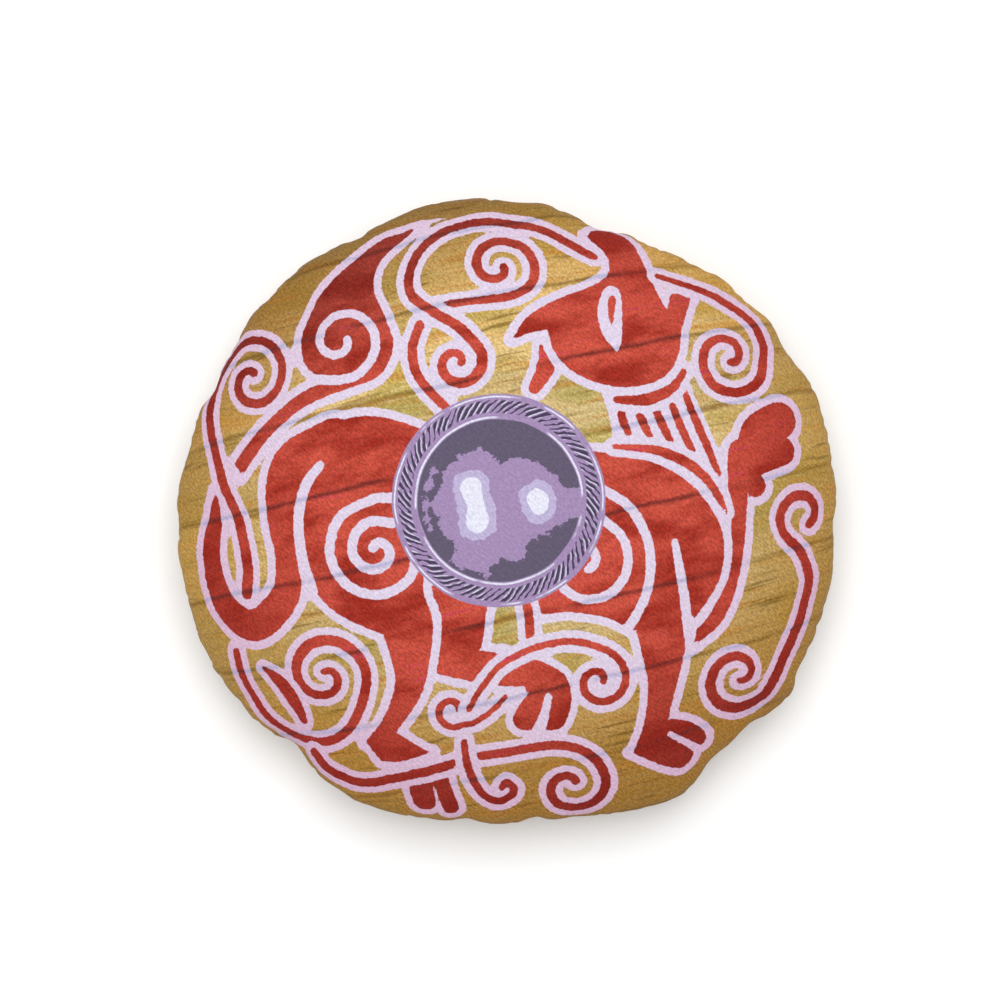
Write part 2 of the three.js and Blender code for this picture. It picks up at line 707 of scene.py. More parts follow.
@dataclass(frozen=True)
class Patch:
    """A filled area whose edge is smooth runs that meet at corners.

    Args:
        runs: The spots of each run, in millimetres. Each run starts where the last ended.
    """

    runs: tuple[tuple[Spot, ...], ...]

    def outline(self) -> Points:
        """Draw the closed line round the area.

        Returns:
            The line's points, one row each, in millimetres.
        """
        if len(self.runs) == 1:
            return smooth_line(np.array(self.runs[0] + self.runs[0][:1]), closed=True)
        firsts = [run[0] for run in self.runs]
        joined = [run + (stop,) for run, stop in zip(self.runs, firsts[1:] + firsts[:1])]
        return np.concatenate([smooth_line(np.array(run)) for run in joined])

    def overhang(self) -> float:
        """How far it reaches past its line at most."""
        return 0.0

    def distance(self, points: Points) -> Points:
        """How far each point lies outside the area, negative inside it.

        Args:
            points: The points, one row each, in millimetres.

        Returns:
            Each point's distance in millimetres, FAR at most.
        """
        line = self.outline()
        gap = np.full(len(points), FAR)
        inside = np.zeros(len(points), bool)
        for start, stop in zip(line, np.roll(line, -1, axis=0)):
            step = stop - start
            gap = np.minimum(gap, beside(points, start, step)[0])
            if step[1]:
                spans = (start[1] > points[:, 1]) != (stop[1] > points[:, 1])
                across, up = (points - start).T
                inside ^= spans & (across < up * step[0] / step[1])
        return np.where(inside, -gap, gap)


Shape = Stroke | Patch


@dataclass(frozen=True)
class Layer:
    """Shapes laid on the picture together, as one area.

    Args:
        shapes: The shapes that make up the area.
        ink: How the area is laid on.
        rim: The pale rim round it.
    """

    shapes: tuple[Shape, ...]
    ink: Ink = Ink.RED
    rim: Rim = Rim.NONE

    def distance(self, points: Points) -> Points:
        """How far each point lies outside the area, negative inside it.

        Args:
            points: The points, one row each, in millimetres.

        Returns:
            Each point's distance in millimetres, FAR at most.
        """
        best = np.full(len(points), FAR)
        for shape in self.shapes:
            line = shape.outline()
            reach = FAR + shape.overhang()
            near = ((points > line.min(0) - reach) & (points < line.max(0) + reach)).all(axis=1)
            best[near] = np.minimum(best[near], shape.distance(points[near]))
        return best


def red(*shapes: Shape, rim: Rim = Rim.BODY) -> Layer:
    """A red area with a pale rim."""
    return Layer(shapes, Ink.RED, rim)


def ribbon(*shapes: Shape) -> Layer:
    """A red area with the narrower rim of the ribbons."""
    return red(*shapes, rim=Rim.RIBBON)


def pale(*shapes: Shape) -> Layer:
    """A pale area."""
    return Layer(shapes, Ink.PALE)


@dataclass(frozen=True)
class BeastPicture:
    """A generic beast of knots and scrolls round a boss, in millimetres on the flat face.

    Args:
        mane: How many stripes its neck has.
    """

    mane: int = 5

    def plume(self) -> list[Layer]:
        """The leaf-shaped plume at the upper left, with a scroll left pale in it.

        Returns:
            The layers, the lowest first.
        """
        leaf = Patch((
            ((-58, 196), (-76, 181), (-88, 165), (-89, 148), (-80, 128), (-74, 108), (-82, 89),
             (-100, 81), (-122, 74), (-142, 63), (-160, 46), (-176, 24)),
            ((-176, 24), (-183, 32)),
            ((-183, 32), (-162, 58), (-140, 76), (-121, 85)),
            ((-121, 85), (-134, 98), (-137, 118), (-129, 142), (-110, 167), (-88, 186)),
        ))
        curl = Stroke(((-126, 87), (-110, 86)), (6.5, 5.5), Scroll((-110, 112), -60, 26, 1.2, 5))
        tip = Stroke(((-62, 195), (-52, 199), (-42, 201)), (6, 4, 1))
        return [red(leaf), pale(curl, tip)]

    def body(self) -> list[Layer]:
        """The trunk, the haunch with its scroll and the band that loops round at the left.

        Returns:
            The layers, the lowest first.
        """
        band = Stroke(
            ((-112, 42), (-140, 30), (-149, 2), (-144, -30), (-146, -56), (-168, -76), (-190, -64),
             (-199, -38), (-199, -12), (-196, 14)),
            (38, 30, 19, 16, 20, 22, 18, 15, 13, 2),
        )
        trunk = Patch((
            ((-30, 40), (-62, 56), (-96, 62), (-126, 50), (-148, 26), (-140, -8), (-128, -50)),
            ((-128, -50), (-108, -68), (-80, -80)),
            ((-80, -80), (-73, -108), (-80, -134), (-94, -154)),
            ((-94, -154), (-84, -167)),
            ((-84, -167), (-70, -167), (-51, -160)),
            ((-51, -160), (-73, -146)),
            ((-73, -146), (-56, -120), (-50, -96), (-48, -70), (-54, -45), (-40, 0)),
        ))
        haunch = Stroke(((-122, 30), (-131, 18), (-136, -2), (-134, -28), (-128, -52)), (6, 7, 7, 7, 9))
        curl = Stroke(((-62, 10), (-74, 9)), (6.5,), Scroll((-84, -25), 95, 33, 0.75, 27))
        eye = Stroke((), (6.5,), Scroll((-84, -25), 60, 20, 1.25, 3))
        far_leg = Patch((
            ((-52, -48), (-48, -80), (-52, -103)),
            ((-52, -103), (-38, -107), (-22, -111)),
            ((-22, -111), (-4, -92)),
            ((-4, -92), (-17, -90)),
            ((-17, -90), (-14, -72), (-15, -50)),
        ))
        return [red(far_leg), red(band, trunk), pale(haunch), pale(curl, eye)]

    def left_ribbons(self) -> list[Layer]:
        """The thin ribbon that crosses the band and rises to a scroll at the left.

        Returns:
            The layers, the lowest first.
        """
        tail = Stroke(
            ((-173, -55), (-172, -36), (-178, -10), (-190, 18), (-200, 45), (-206, 70), (-204, 89),
             (-194, 106)),
            (8, 7.5, 6.5, 6.5, 6, 6, 6.5, 6.5, 6, 5.5),
            Scroll((-173.5, 90), 105, 28, -1.14, 4),
        )
        return [red(tail, rim=Rim.STRAP)]

    def lower_left(self) -> list[Layer]:
        """The scroll and the leaf at the lower left.

        Returns:
            The layers, the lowest first.
        """
        big = Stroke(
            ((-183, -95), (-179, -117), (-167, -139), (-146, -155), (-121, -156), (-102, -141)),
            (5.5, 6, 7, 7.5, 6.5, 5.5, 5),
            Scroll((-120, -109), -10, 28, 1.3, 3.5, 1.1),
        )
        leaf = Stroke(((-138, -143), (-142, -130), (-151, -116), (-163, -105)), (5, 7.5, 10, 9, 3))
        fill = Stroke(((-101, -153), (-93, -143)), (2.5,))
        return [ribbon(big), red(leaf, rim=Rim.STRAP), pale(fill)]

    def top_ribbons(self) -> list[Layer]:
        """The long ribbon over the top and the scrolls that hang from it.

        Returns:
            The layers, the lowest first.
        """
        long = Stroke(
            ((60, 173), (42, 182), (18, 194), (-10, 198), (-38, 192), (-57, 177), (-65, 158), (-62, 142),
             (-48, 131), (-32, 121)),
            (6, 6.5, 6.5, 7, 7.5, 6.5, 5.5, 5),
            Scroll((-32.5, 97), 60, 18, -1.2, 3),
        )
        hook = Stroke(
            ((-46, 135), (-24, 138), (1, 141)),
            (5, 6.5, 6.5, 6, 5.5),
            Scroll((-5, 162), -30, 24, 1.1, 3, 1.3),
        )
        side = Stroke(((-57, 122), (-61.5, 107), (-59, 91), (-49, 77), (-37, 65)), (6.5, 6.5, 6, 6))
        # The fills close slivers between neighbouring rims.
        fills = (
            Stroke(((-42, 78), (-34, 73)), (5,)),
            Stroke(((-52, 193), (-61, 186)), (2.5,)),
            Stroke(((-144, 108), (-141, 97)), (3.5,)),
        )
        return [pale(*fills), ribbon(side), ribbon(hook), ribbon(long)]

    def chest(self) -> list[Layer]:
        """The chest, the foreleg, the bands round the shoulder and the raised paw.

        Returns:
            The layers, the lowest first.
        """
        arm = Stroke(
            ((120, -86), (137, -70), (147, -46), (152, -14), (152, 18), (155, 38)),
            (7, 10, 10, 10, 14, 20),
        )
        paw = (
            Stroke(((158, 32), (168, 52), (183, 61)), (20, 26, 25)),
            Stroke(((160, 32), (184, 40)), (20, 19)),
            Stroke(((156, 26), (164, 17)), (16, 15)),
        )
        mass = Patch((
            ((40, 40), (66, 38), (100, 30), (126, 12), (141, -14), (141, -38), (133, -56), (119, -74)),
            ((119, -74), (115, -100), (108, -138)),
            ((108, -138), (124, -142), (135, -150), (136, -158), (129, -163)),
            ((129, -163), (127, -170), (118, -175), (106, -172), (84, -161)),
            ((84, -161), (91, -138), (92, -112), (84, -78)),
            ((84, -78), (64, -68.5), (42, -65), (10, -61), (20, 0)),
        ))
        sliver = Patch((
            ((108.5, -17), (112, -22), (119.5, -60), (123, -92)),
            ((124, -92), (117, -90)),
            ((117, -90), (112, -54), (107, -22)),
        ))
        bands = (
            Stroke(((60, 15), (78, 4), (90.5, -16), (93, -38), (88.5, -58), (79, -75)), (6.2,)),
            Stroke(((52, 1), (59, -2)), (6,), Scroll((50, -33), 70, 31, -1.35, 5)),
        )
        slit = Stroke(((109, -149), (119, -155), (133, -164)), (4, 4.5, 6))
        return [red(arm, *paw), red(mass), pale(sliver), pale(slit), pale(*bands)]

    def neck(self) -> list[Layer]:
        """The pale neck with its mane of red stripes.

        Returns:
            The layers, the lowest first.
        """
        throat = Patch((
            ((60, 80), (115, 96)),
            ((115, 96), (125, 70), (137, 44), (145, 12)),
            ((145, 12), (128, 29), (100, 41), (69, 45)),
            ((69, 45), (66, 62)),
        ))
        stripes = []
        for number in range(self.mane):
            share = number / (self.mane - 1)
            top = (73.5 + 42.5 * share, 66 + 14 * share**1.3)
            foot = (78.5 + 60 * share, 51 - 26 * share**1.4)
            middle = ((top[0] + foot[0]) / 2 - 1, (top[1] + foot[1]) / 2 + 1)
            stripes.append(Stroke((top, middle, foot), (4.5, 6, 4.5)))
        strap = Stroke(
            ((69, 42), (96, 40), (117, 32), (130.5, 21), (139.5, 8), (143.5, -1)),
            (3, 6, 7, 6, 5, 2),
        )
        return [pale(throat), red(*stripes, rim=Rim.MANE), red(strap, rim=Rim.STRAP)]

    def head(self) -> list[Layer]:
        """The head, with its crest, eye, ear, jaw strap and tongue.

        Returns:
            The layers, the lowest first.
        """
        skull = Patch((
            ((3, 112), (14, 128), (36, 142), (56, 150), (68, 160), (68, 174), (55, 189)),
            ((55, 189), (61, 196), (74, 197), (87, 186), (95, 165), (102, 144), (107, 134)),
            ((107, 134), (111, 147), (124, 144)),
            ((124, 144), (116.5, 122), (113, 104), (103, 88), (82, 81), (60, 83), (40, 93), (30, 106),
             (27, 119)),
            ((27, 119), (14, 116)),
        ))
        eye = Patch((
            ((72, 104), (63, 116), (60, 132), (64, 147), (71, 151), (76, 144), (76, 126)),
            ((76, 126), (75, 112)),
        ))
        pupil = Stroke(((69, 124), (69, 134), (70, 141)), (2, 5, 5))
        strap = Stroke(((71, 72.5), (91, 73), (107, 81), (114.5, 91.5)), (4.5, 8.5, 8.5, 7.5))
        tongue = Stroke(((22, 108), (25, 94), (18, 80)), (2, 12, 8))
        lower = [red(strap, rim=Rim.STRAP), ribbon(tongue)]
        return [*lower, red(skull), pale(eye), red(pupil, rim=Rim.NONE)]

    def right_ribbons(self) -> list[Layer]:
        """The scrolls down the right-hand side.

        Returns:
            The layers, the lowest first.
        """
        tendril = Stroke(
            ((102, 160), (125, 153), (149, 145), (167, 132), (175, 115)),
            (4, 6.5, 7, 6.5, 6, 5),
            Scroll((149, 103), 5, 26.5, -1.25, 3, 1.2),
        )
        upper = Stroke(((206, -44), (199, -28)), (7.5, 6.5), Scroll((202, -4), 215, 19, -0.72, 7, 1.4))
        lower = Stroke(
            ((199, -28), (206, -44), (203, -66), (196, -86), (189, -102), (181, -117)),
            (6.5, 7.5, 8, 8, 8, 7, 6, 5.5, 5),
            Scroll((156, -110), -45, 26, -1.12, 3, 1.1),
        )
        return [ribbon(tendril), ribbon(upper, lower)]

    def bottom(self) -> list[Layer]:
        """The ribbons, scrolls and toes along the bottom.

        Returns:
            The layers, the lowest first.
        """
        belly = Stroke(((10, -50), (14, -66), (15, -80)), (6,))
        arc = Stroke(
            ((-25, -130), (-17, -116), (-4, -100), (16, -89), (40, -84), (60, -88)),
            (4, 4.5, 5, 5.5, 5.5, 5, 5),
            Scroll((60, -110), 50, 19, -1.15, 3),
        )
        paw = Patch((
            ((-9, -113), (0, -103), (11, -95), (25, -98), (37, -106), (42, -118), (41, -131), (37, -141),
             (31, -144), (22, -144), (10, -144), (4, -138), (7, -129), (14, -119)),
            ((14, -119), (11, -114)),
            ((11, -114), (0, -114)),
        ))
        gap = Stroke(((27, -121), (25, -132), (21, -145)), (5, 5.5, 9))
        curl = Stroke(
            ((-1, -121), (-10, -131), (-21, -139)),
            (3.5, 4.5, 5, 5),
            Scroll((-35, -130), -50, 13, -0.85, 4),
        )
        toes = (
            Stroke(((-58, -186), (-56, -198)), (17, 16)),
            Stroke(((-44, -182), (-38, -203)), (11, 11)),
        )
        left = Stroke(((-132, -166), (-122, -178), (-102, -186), (-74, -180), (-34, -168)), (7,))
        right = Stroke(
            ((-17, -163), (10, -158), (38, -155), (58, -164)),
            (6.5, 7, 6.5, 6),
            Scroll((43, -185), 5, 24, -0.9, 4.5),
        )
        drop = Stroke(
            ((-28, -153), (-27, -166), (-23, -180), (-16, -192), (-6, -197), (3, -193), (5, -187),
             (0, -182), (-3, -186)),
            (4.5, 5.5, 6, 6, 6, 5.5, 5, 5),
        )
        lower = [ribbon(belly), ribbon(paw), pale(gap), ribbon(curl), ribbon(arc)]
        return [*lower, ribbon(*toes), ribbon(left), ribbon(right), ribbon(drop)]

    def build(self) -> list[Layer]:
        """Lay all the parts of the picture over each other.

        Returns:
            The picture's layers, the lowest first.
        """
        return (
            self.plume()
            + self.body()
            + self.left_ribbons()
            + self.lower_left()
            + self.top_ribbons()
            + self.chest()
            + self.neck()
            + self.head()
            + self.right_ribbons()
            + self.bottom()
        )

    def fields(self, points: Points) -> tuple[Points, Points]:
        """How far each point lies outside the pale and the red print.

        Args:
            points: Points on the flat face, one row each, in millimetres.

        Returns:
            The distances to the pale and to the red, negative inside them.
        """
        pale_gap = np.full(len(points), FAR)
        red_gap = np.full(len(points), FAR)
        for layer in self.build():
            gap = layer.distance(points)
            rim = layer.rim.value
            pale_gap = np.minimum(pale_gap, gap - rim)
            red_gap = np.maximum(red_gap, rim - gap)
            if layer.ink is Ink.RED:
                red_gap = np.minimum(red_gap, gap)
        return pale_gap, red_gap


# ---- the printed plush -----------------------------------------------------------------

Fade = tuple[float, float, float, float]
INK_EDGE = 0.35
VIOLET: Colour = (0.295, 0.208, 0.365)
GLEAM: Colour = (0.62, 0.62, 0.72)


@dataclass(frozen=True)
class Lumps:
    """Smooth noise, which may be drawn out along one direction.

    Args:
        along: How far apart its lumps are along X, in millimetres.
        across: How far apart they are along Y, in millimetres.
        shift: Where its pattern starts, in lumps.
        detail: How many times finer lumps are added to it.
        roughness: How strong the finer lumps are.
    """

    along: float
    across: float
    shift: Spot = (0, 0)
    detail: float = 2.0
    roughness: float = 0.5


@dataclass(frozen=True)
class Streaks:
    """A colour that is laid over another where drawn-out noise is high.

    Args:
        colour: The colour.
        lumps: The noise.
        fade: The noise from which it starts, that at which it is full, and its strength there.
    """

    colour: Colour
    lumps: Lumps
    fade: Fade


class NodeSheet:
    """A new material's nodes, with short ways to add and join them."""

    def __init__(self, name: str) -> None:
        """Start a material that holds only its shader.

        Args:
            name: The material's name.
        """
        self.material = bpy.data.materials.new(name)
        self.material.use_nodes = True
        self.tree = self.material.node_tree
        self.shader = self.tree.nodes["Principled BSDF"]

    def join(self, socket: Socket, value: Value) -> None:
        """Set an input to a value, or link an output to it.

        Args:
            socket: The input.
            value: The value, or the output.
        """
        if isinstance(value, Socket):
            self.tree.links.new(value, socket)
        elif isinstance(value, tuple) and socket.type == "RGBA":
            socket.default_value = (*value, 1)
        else:
            socket.default_value = value

    def node(self, kind: str, inputs: dict, output: int = 0, **settings: str) -> Socket:
        """Add a node.

        Args:
            kind: Its type, without the leading ShaderNode.
            inputs: Its inputs by number or name, each a value or another node's output.
            output: The number of the output to return.
            settings: Its other properties by name.

        Returns:
            The chosen output.
        """
        made = self.tree.nodes.new("ShaderNode" + kind)
        for name, setting in settings.items():
            setattr(made, name, setting)
        for number, value in inputs.items():
            self.join(made.inputs[number], value)
        return made.outputs[output]

    def read(self, name: str) -> Socket:
        """Read a one-number attribute of the mesh."""
        return self.node("Attribute", {}, 2, attribute_name=name)

    def read_vector(self, name: str) -> Socket:
        """Read a three-number attribute of the mesh."""
        return self.node("Attribute", {}, 1, attribute_name=name)

    def maths(self, operation: str, *values: Value) -> Socket:
        """Work out one number from others."""
        return self.node("Math", dict(enumerate(values)), operation=operation)

    def plus(self, first: Value, second: Value) -> Socket:
        """Add two numbers."""
        return self.maths("ADD", first, second)

    def minus(self, first: Value, second: Value) -> Socket:
        """Take the second number from the first."""
        return self.maths("SUBTRACT", first, second)

    def times(self, first: Value, second: Value) -> Socket:
        """Multiply two numbers."""
        return self.maths("MULTIPLY", first, second)

    def add_part(self, value: Value, size: Value, base: Value) -> Socket:
        """Multiply a number by a size and add it to the base."""
        return self.maths("MULTIPLY_ADD", value, size, base)

    def away(self, value: Value, place: Value) -> Socket:
        """How far a number is from a place, either way."""
        return self.maths("ABSOLUTE", self.minus(value, place))

    def part(self, vector: Value, axis: int) -> Socket:
        """One number of a vector: 0 for X, 1 for Y and 2 for Z."""
        return self.node("SeparateXYZ", {0: vector}, axis)

    def scaled(self, vector: Value, size: Value) -> Socket:
        """Multiply a vector or a colour by a number."""
        return self.node("VectorMath", {0: vector, 3: size}, operation="SCALE")

    def tinted(self, colour: Value, tint: Value) -> Socket:
        """Multiply a colour by another."""
        return self.node("VectorMath", {0: colour, 1: tint}, operation="MULTIPLY")

    def toward(self, vector: Value, heading: Spot) -> Socket:
        """How far a point lies along a heading."""
        return self.node("VectorMath", {0: vector, 1: (*heading, 0)}, 1, operation="DOT_PRODUCT")

    def far(self, vector: Value, centre: Spot) -> Socket:
        """How far a point lies from a centre, seen from above."""
        own = self.place(vector, (-centre[0], -centre[1]), scale=(1, 1, 0))
        return self.node("VectorMath", {0: own}, 1, operation="LENGTH")

    def place(self, vector: Value, shift: Spot = (0, 0), turn: float = 0,
              scale: tuple[float, float, float] = (1, 1, 1)) -> Socket:
        """Scale, then turn about Z, then shift a vector.

        Args:
            vector: The vector.
            shift: How far to shift it along X and Y.
            turn: How far to turn it, in degrees.
            scale: What to multiply its three numbers by.

        Returns:
            The placed vector.
        """
        return self.node("Mapping", {0: vector, 1: (*shift, 0), 2: (0, 0, math.radians(turn)), 3: scale})

    def noise(self, vector: Value, lumps: Lumps) -> Socket:
        """Smooth noise about 0.5 over points in millimetres."""
        own = self.place(vector, lumps.shift, scale=(1 / lumps.along, 1 / lumps.across, 0.1))
        return self.node("TexNoise", {0: own, 2: 1.0, 3: lumps.detail, 4: lumps.roughness})

    def ramp(self, value: Value, low: float, high: float, first: float = 0.0, last: float = 1.0) -> Socket:
        """Go smoothly from first to last while the value goes from low to high."""
        inputs = {0: value, 1: low, 2: high, 3: first, 4: last}
        return self.node("MapRange", inputs, interpolation_type="SMOOTHSTEP")

    def inside(self, gap: Value, soft: float, reach: float = 0.0) -> Socket:
        """One where the gap is less than reach and none beyond it, with a soft edge."""
        return self.ramp(gap, reach - soft, reach + soft, 1.0, 0.0)

    def blend(self, share: Value, first: Value, second: Value) -> Socket:
        """Lay the second colour over the first by the share."""
        return self.node("Mix", {0: share, 6: first, 7: second}, 2, data_type="RGBA")

    def streak(self, ground: Value, vector: Value, streaks: Streaks) -> Socket:
        """Lay streaks over the ground."""
        share = self.ramp(self.noise(vector, streaks.lumps), *streaks.fade)
        return self.blend(share, ground, streaks.colour)


class PanelSheet(NodeSheet):
    """The plush's nodes, with the places on its panels that every print reads.

    Attributes:
        side: Which side of the seam a point is on, from -1 at the back to 1 on the face.
        flat: Where it lies on its flat panel, in millimetres.
        grain: The same along and across the planks' grain.
    """

    def __init__(self, name: str, panel_gap: float, tilt: float) -> None:
        """Start the material.

        Args:
            name: The material's name.
            panel_gap: How far apart the panels are cut from the printed cloth, in millimetres.
            tilt: How steeply the grain rises, in degrees.
        """
        super().__init__(name)
        panel = self.read_vector("panel")
        self.side = self.part(panel, 2)
        self.flat = self.place(panel, scale=(1 / MM, 1 / MM, panel_gap))
        self.grain = self.place(self.flat, turn=-tilt)


@dataclass(frozen=True)
class PlankPrint:
    """The printed planks, whose grain rises slightly to the right. Sizes are in millimetres."""

    tilt: float = 12.5
    width: float = 52.0
    start: float = -15.5
    joint_half: float = 2.7
    joint_soft: float = 1.5
    sway: Lumps = Lumps(80, 90)
    sway_size: float = 7.0
    fray: Lumps = Lumps(9, 2)
    fray_size: float = 2.4
    faint: Lumps = Lumps(62, 30)
    faint_fade: Fade = (0.34, 0.54, 0.0, 1.0)
    # Painted shade: the ground turns darker and more orange, towards the rim colour, near the edge of the
    # face, measured from middle.
    middle: Spot = (8, 24)
    painted_rim_shade_fade: Fade = (90, 232, 0.0, 0.85)
    fibre_fade: Fade = (110, 215, 1.0, 0.2)
    joint_dark: float = 0.7
    # Painted light and shade: the ground is bluer in the band through the middle and more orange towards
    # the top and the foot.
    painted_tint_fade: Fade = (50, 170, 0.0, 1.0)
    levels: tuple[float, float] = (0.90, 1.10)
    gold: Colour = (0.545, 0.375, 0.150)
    brown: Colour = (0.17, 0.090, 0.012)
    # Painted shade colour for the edge of the face.
    rim: Colour = (0.37, 0.185, 0.030)
    # Painted light in the middle band, then painted shade towards the top and the foot.
    painted_light_tint: Colour = (1.0, 1.09, 1.22)
    painted_shade_tint: Colour = (1.0, 0.94, 0.84)
    olive: Streaks = Streaks((0.36, 0.265, 0.060), Lumps(95, 40, (7, 3), 3.0), (0.46, 0.62, 0.0, 0.8))
    orange: Streaks = Streaks((0.43, 0.195, 0.035), Lumps(70, 7, (1, 5), 3.0), (0.50, 0.66, 0.0, 0.7))
    fibres: Streaks = Streaks(
        (0.58, 0.45, 0.22), Lumps(34, 3, (4, 9), 3.0, 0.6), (0.50, 0.74, 0.0, 0.55)
    )
    cracks: Streaks = Streaks(brown, Lumps(60, 4.5, (2, 2), 4.0, 0.6), (0.55, 0.70, 0.0, 0.75))
    # Painted shade: the colour darkens towards the upper left and the foot.
    painted_shades: tuple[tuple[Spot, Fade], ...] = (
        ((-0.5, 0.866), (100, 215, 1.0, 0.62)),
        ((0.3, -0.954), (105, 215, 1.0, 0.8)),
    )

    def joints(self, sheet: PanelSheet) -> tuple[Socket, Socket]:
        """Draw the dark joints between the planks.

        Args:
            sheet: The material.

        Returns:
            How dark the joint is at each point, and the number of the plank.
        """
        grain = sheet.grain
        across = sheet.add_part(sheet.noise(grain, self.sway), self.sway_size, sheet.part(grain, 1))
        lane = sheet.minus(across, self.start + self.sway_size / 2)
        lane = sheet.maths("DIVIDE", lane, self.width)
        off = sheet.away(sheet.maths("FRACT", sheet.plus(lane, 0.5)), 0.5)
        gap = sheet.times(off, self.width)
        gap = sheet.add_part(sheet.noise(grain, self.fray), self.fray_size, gap)
        strength = sheet.ramp(sheet.noise(grain, self.faint), *self.faint_fade)
        joint = sheet.times(sheet.inside(gap, self.joint_soft, self.joint_half), strength)
        return joint, sheet.maths("FLOOR", lane)

    def colour(self, sheet: PanelSheet, joint: Value, plank: Value) -> Socket:
        """The planks' colour: gold, with olive and orange streaks along the grain.

        Args:
            sheet: The material.
            joint: How dark the joint is at each point.
            plank: The number of the plank.

        Returns:
            The colour, with its joints and its painted shade.
        """
        grain = sheet.grain
        far = sheet.far(grain, self.middle)
        ground = sheet.streak(self.gold, grain, self.olive)
        # Painted shade: darker and more orange towards the edge of the face.
        ground = sheet.blend(sheet.ramp(far, *self.painted_rim_shade_fade), ground, self.rim)
        ground = sheet.streak(ground, grain, self.orange)
        fibres = sheet.ramp(sheet.noise(grain, self.fibres.lumps), *self.fibres.fade)
        fibres = sheet.times(fibres, sheet.ramp(far, *self.fibre_fade))
        ground = sheet.blend(fibres, ground, self.fibres.colour)
        ground = sheet.streak(ground, grain, self.cracks)
        # Painted light and shade: bluer across the middle, more orange towards the top and the foot.
        off = sheet.away(sheet.part(grain, 1), 0.0)
        tint = sheet.blend(sheet.ramp(off, *self.painted_tint_fade), self.painted_light_tint, self.painted_shade_tint)
        tone = sheet.node("TexWhiteNoise", {1: plank}, 0, noise_dimensions="1D")
        ground = sheet.scaled(sheet.tinted(ground, tint), sheet.ramp(tone, 0.0, 1.0, *self.levels))
        # Joints, then painted shade towards the upper left and the foot.
        return self.with_painted_shade(sheet, sheet.blend(sheet.times(joint, self.joint_dark), ground, self.brown))

    def with_painted_shade(self, sheet: PanelSheet, colour: Value) -> Socket:
        """Paint shade onto a colour, darker towards the upper left and the foot.

        Args:
            sheet: The material.
            colour: The colour.

        Returns:
            The darkened colour.
        """
        for heading, fade in self.painted_shades:
            colour = sheet.scaled(colour, sheet.ramp(sheet.toward(sheet.flat, heading), *fade))
        return colour


@dataclass(frozen=True)
class RopeRim:
    """The boss's roped rim: slanted strokes between two thin light lines."""

    inner: float = 52.5
    outer: float = 69.0
    strands: int = 78
    slant: float = 0.23
    ground: Colour = VIOLET
    light: Colour = GLEAM
    ink: Colour = (0.055, 0.042, 0.078)
    shake: Lumps = Lumps(10, 10, (5, 1), 1.0)
    shake_turn: float = 0.8
    shake_out: float = 2.0
    patches: Lumps = Lumps(9, 9, (9, 4))
    wide: Fade = (0.32, 0.60, 0.18, 0.62)
    ridge: Fade = (0.74, 0.80, 0.0, 0.7)
    ridge_patches: Fade = (0.46, 0.56, 0.0, 1.0)
    stroke_soft: float = 0.05
    middle: float = 0.3
    reach: float = 5.2
    end_soft: float = 0.4
    glow: Lumps = Lumps(30, 30, (2, 6))
    glow_soft: float = 0.08
    lines: tuple[tuple[float, float, float], ...] = ((53.8, 0.6, 0.44), (67.2, 0.5, 0.46))

    def colour(self, sheet: NodeSheet, own: Value, turn: Value, reach: Value) -> Socket:
        """Draw the rim.

        Args:
            sheet: The material.
            own: Millimetres from the boss's middle.
            turn: The bearing of each point, in radians.
            reach: How far each point is from the middle.

        Returns:
            The rim's colour.
        """
        shake = sheet.noise(own, self.shake)
        across = sheet.minus(reach, 0.5 * (self.inner + self.outer))
        strand = sheet.add_part(turn, self.strands / FULL_TURN, sheet.times(across, self.slant))
        strand = sheet.add_part(shake, self.shake_turn, strand)
        phase = sheet.maths("FRACT", sheet.plus(strand, 2 * self.strands))
        patches = sheet.noise(own, self.patches)
        stroke = sheet.inside(sheet.minus(phase, sheet.ramp(patches, *self.wide)), self.stroke_soft)
        ends = sheet.add_part(shake, self.shake_out, sheet.away(across, self.middle))
        ends = sheet.inside(ends, self.end_soft, self.reach)
        ridge = sheet.times(sheet.ramp(phase, *self.ridge), sheet.ramp(patches, *self.ridge_patches))
        ring = sheet.blend(sheet.times(ridge, ends), self.ground, self.light)
        ring = sheet.blend(sheet.times(stroke, ends), ring, self.ink)
        glow = sheet.noise(own, self.glow)
        for radius, half, level in self.lines:
            line = sheet.inside(sheet.away(reach, radius), INK_EDGE, half)
            lit = sheet.times(line, sheet.ramp(glow, level, level + self.glow_soft))
            ring = sheet.blend(lit, ring, self.light)
        return ring


